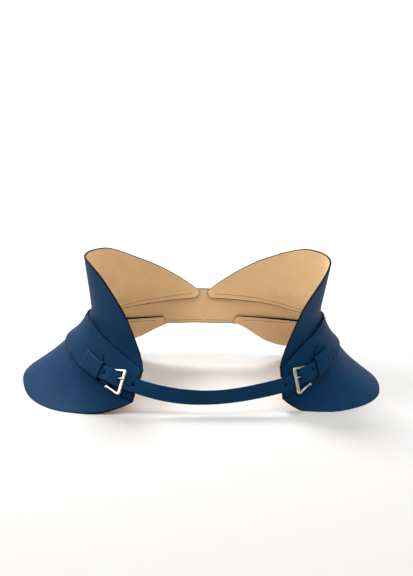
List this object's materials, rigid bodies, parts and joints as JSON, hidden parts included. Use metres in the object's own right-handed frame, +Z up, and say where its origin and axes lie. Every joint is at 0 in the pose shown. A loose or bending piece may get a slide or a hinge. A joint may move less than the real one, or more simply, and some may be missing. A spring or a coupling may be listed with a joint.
{
  "type": "corset waist belt",
  "caption": "Corset-style leather waist belt with flared upper and lower peplum wings, tan lining and a narrow front strap that buckles at each side.",
  "frame": {"origin": "centre of the bounding box on the floor plane the lower wings' hems rest on", "axes": "+X towards the belt's right-hand side as seen from the front, +Y towards the back of the waist, +Z up; the front strap is on the -Y side"},
  "size_m": [0.3876, 0.2048, 0.1422],
  "materials": {
    "outer": "satin, fine grain",
    "lining": "matte, natural tan",
    "metal": "polished pale gold",
    "thread": "waxed thread"
  },
  "bodies": {
    "belt": {"waistband_outer": "outer", "waistband_lining": "lining", "upper_wing_left_outer": "outer", "upper_wing_left_lining": "lining", "lower_wing_left_outer": "outer", "lower_wing_left_lining": "lining", "upper_wing_right_outer": "outer", "upper_wing_right_lining": "lining", "lower_wing_right_outer": "outer", "lower_wing_right_lining": "lining", "front_strap_outer": "outer", "front_strap_lining": "lining", "chape_left": "outer", "keeper_left": "outer", "keeper_tab_left": "outer", "chape_right": "outer", "keeper_right": "outer", "keeper_tab_right": "outer", "seam_thread_upper_left": "thread", "seam_thread_lower_left": "thread", "seam_thread_upper_right": "thread", "seam_thread_lower_right": "thread"},
    "frame_left": {"buckle_frame_left": "metal"},
    "prong_left": {"buckle_prong_left": "metal"},
    "frame_right": {"buckle_frame_right": "metal"},
    "prong_right": {"buckle_prong_right": "metal"}
  },
  "joints": [
    {"name": "frame_left_hinge", "type": "hinge", "parent": "belt", "child": "frame_left", "pos_m": [-0.10031, -0.08248, 0.03132], "axis": [-0.2529, -0.5843, -0.7711], "range_deg": [0, 40], "deforming": ["front_strap_outer", "front_strap_lining"]},
    {"name": "prong_left_hinge", "type": "hinge", "parent": "frame_left", "child": "prong_left", "pos_m": [-0.10031, -0.08248, 0.03132], "axis": [-0.2529, -0.5843, -0.7711], "range_deg": [0, 12], "deforming": ["front_strap_outer", "front_strap_lining"]},
    {"name": "frame_right_hinge", "type": "hinge", "parent": "belt", "child": "frame_right", "pos_m": [0.10146, -0.0742, 0.03453], "axis": [-0.1961, 0.3408, 0.9195], "range_deg": [0, 40], "deforming": ["front_strap_outer", "front_strap_lining"]},
    {"name": "prong_right_hinge", "type": "hinge", "parent": "frame_right", "child": "prong_right", "pos_m": [0.10146, -0.0742, 0.03453], "axis": [-0.1961, 0.3408, 0.9195], "range_deg": [0, 12], "deforming": ["front_strap_outer", "front_strap_lining"]}
  ]
}
